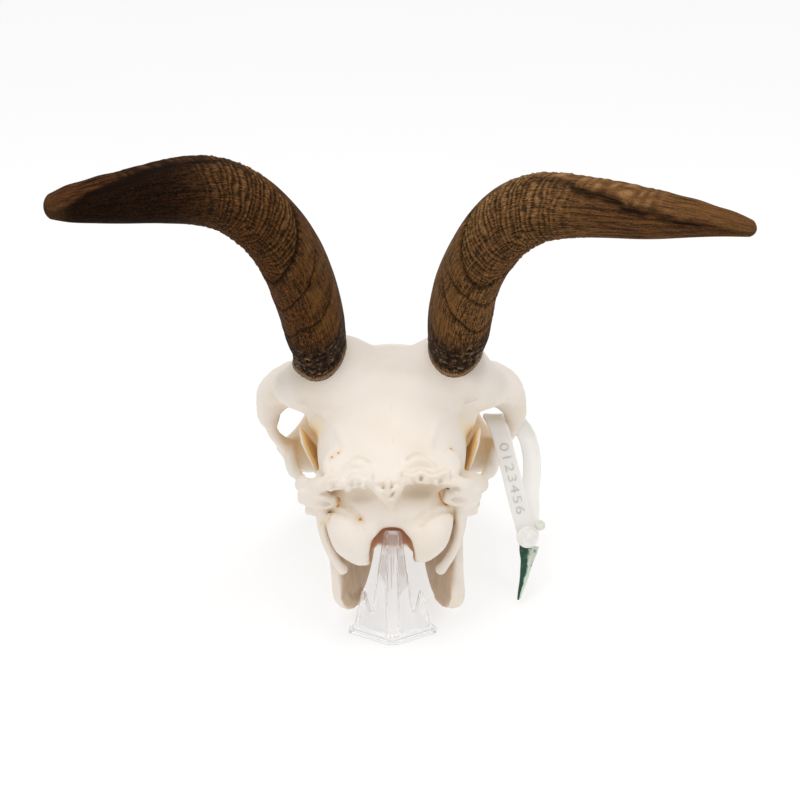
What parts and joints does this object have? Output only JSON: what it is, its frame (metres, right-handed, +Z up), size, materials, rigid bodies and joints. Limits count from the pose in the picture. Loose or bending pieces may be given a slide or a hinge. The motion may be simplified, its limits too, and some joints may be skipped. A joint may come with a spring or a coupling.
{
  "type": "goat skull with horns on a display easel",
  "caption": "Horned billy-goat skull with its loose lower jaw, propped at the back on a small clear easel, with a strap tag through the right eye socket.",
  "frame": {"origin": "bottom centre of the box round the whole specimen, on the surface that the jaw and the easel stand on", "axes": "+Z up, +Y from the back of the skull to its nose, +X towards the animal's right horn"},
  "size_m": [0.2736, 0.257, 0.2172],
  "materials": {
    "bone": "bleached bone, dry and matte, creamy white above and warm tan in the hollows",
    "jawbone": "bone, a little yellower than the skull, smooth and matte",
    "horn_dark": "horn sheath, nearly black brown, fibrous and ringed, low sheen",
    "horn_brown": "horn sheath, mid brown, fibrous and ringed, low sheen",
    "clear_plastic": "clear moulded plastic, polished",
    "strap": "translucent white nylon, satin",
    "tail": "dark green and white plastic, satin"
  },
  "bodies": {
    "root": {"cranium": "bone", "mandible_left": "jawbone", "mandible_right": "jawbone", "horn_left": "horn_dark", "horn_right": "horn_brown", "easel": "clear_plastic", "tag_strap": "strap", "tag_button": "strap", "tag_knob": "strap", "tag_tail": "tail"}
  },
  "joints": []
}
